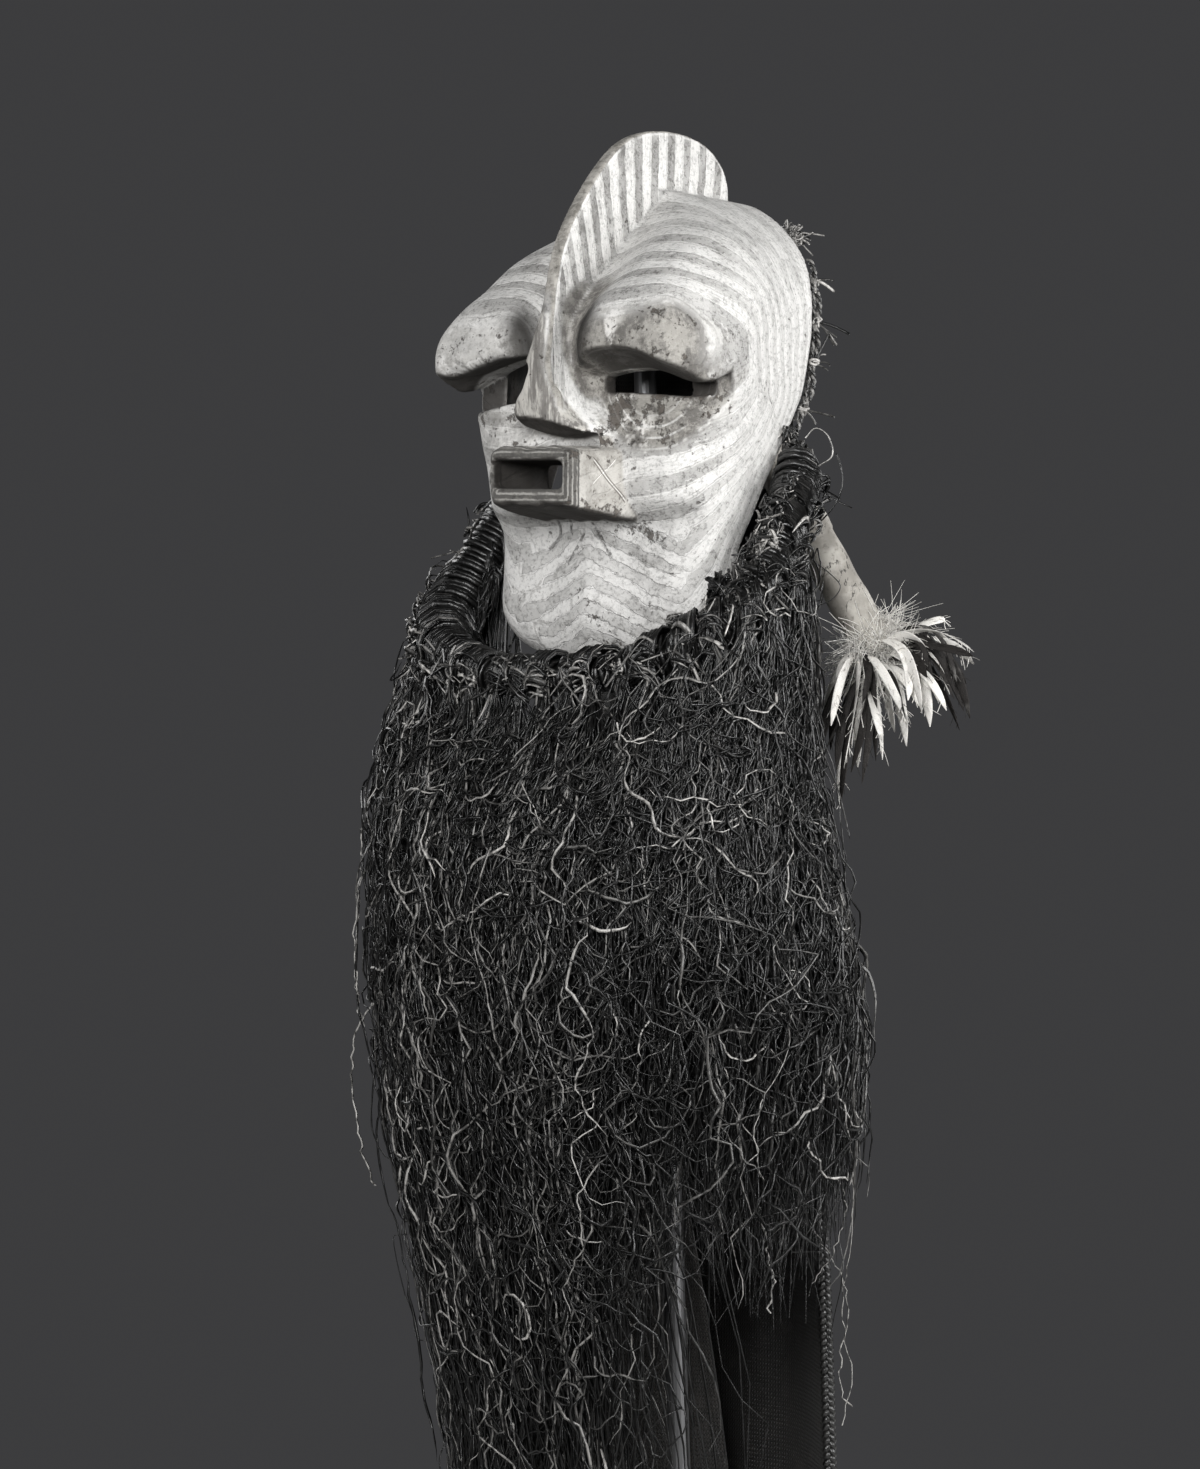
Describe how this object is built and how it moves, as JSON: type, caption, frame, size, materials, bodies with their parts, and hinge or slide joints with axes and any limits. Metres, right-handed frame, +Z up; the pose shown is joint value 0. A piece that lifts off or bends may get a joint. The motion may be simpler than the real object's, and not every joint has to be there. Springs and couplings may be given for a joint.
{
  "type": "kilume mask",
  "caption": "Carved and painted crested mask with bulging lids and a box mouth, worn with a raffia fringe, a knitted cape and a feathered stick, on a pole stand.",
  "frame": {"origin": "centre of the foot plate's underside", "axes": "+Z up, the face looks along -Y, +X towards the wearer's left"},
  "size_m": [0.5994, 0.457, 1.6],
  "materials": {
    "painted_wood": "matt white earth paint with grey-brown bands, chipped",
    "raffia": "dark dyed fibre",
    "cord": "knotted dark fibre cord",
    "knit": "close dark knitting",
    "pale_stick": "smooth and pale",
    "feather": "white down and mottled feathers",
    "steel_tube": "dull grey",
    "steel_plate": "matt black"
  },
  "bodies": {
    "root": {"carved_mask": "painted_wood", "raffia_roll": "raffia", "raffia_bunch_01": "raffia", "raffia_bunch_02": "raffia", "raffia_bunch_03": "raffia", "raffia_bunch_04": "raffia", "raffia_bunch_05": "raffia", "raffia_bunch_06": "raffia", "raffia_bunch_07": "raffia", "raffia_bunch_08": "raffia", "raffia_bunch_09": "raffia", "raffia_bunch_10": "raffia", "raffia_bunch_11": "raffia", "raffia_bunch_12": "raffia", "raffia_bunch_13": "raffia", "raffia_bunch_14": "raffia", "raffia_bunch_15": "raffia", "rim_lacing_left": "cord", "rim_lacing_right": "cord", "knitted_cape": "knit", "cape_edge_braid": "knit", "neck_cord": "cord", "feather_stick": "pale_stick", "feather_tuft": "feather", "stand_pole": "steel_tube", "stand_foot": "steel_plate"}
  },
  "joints": []
}
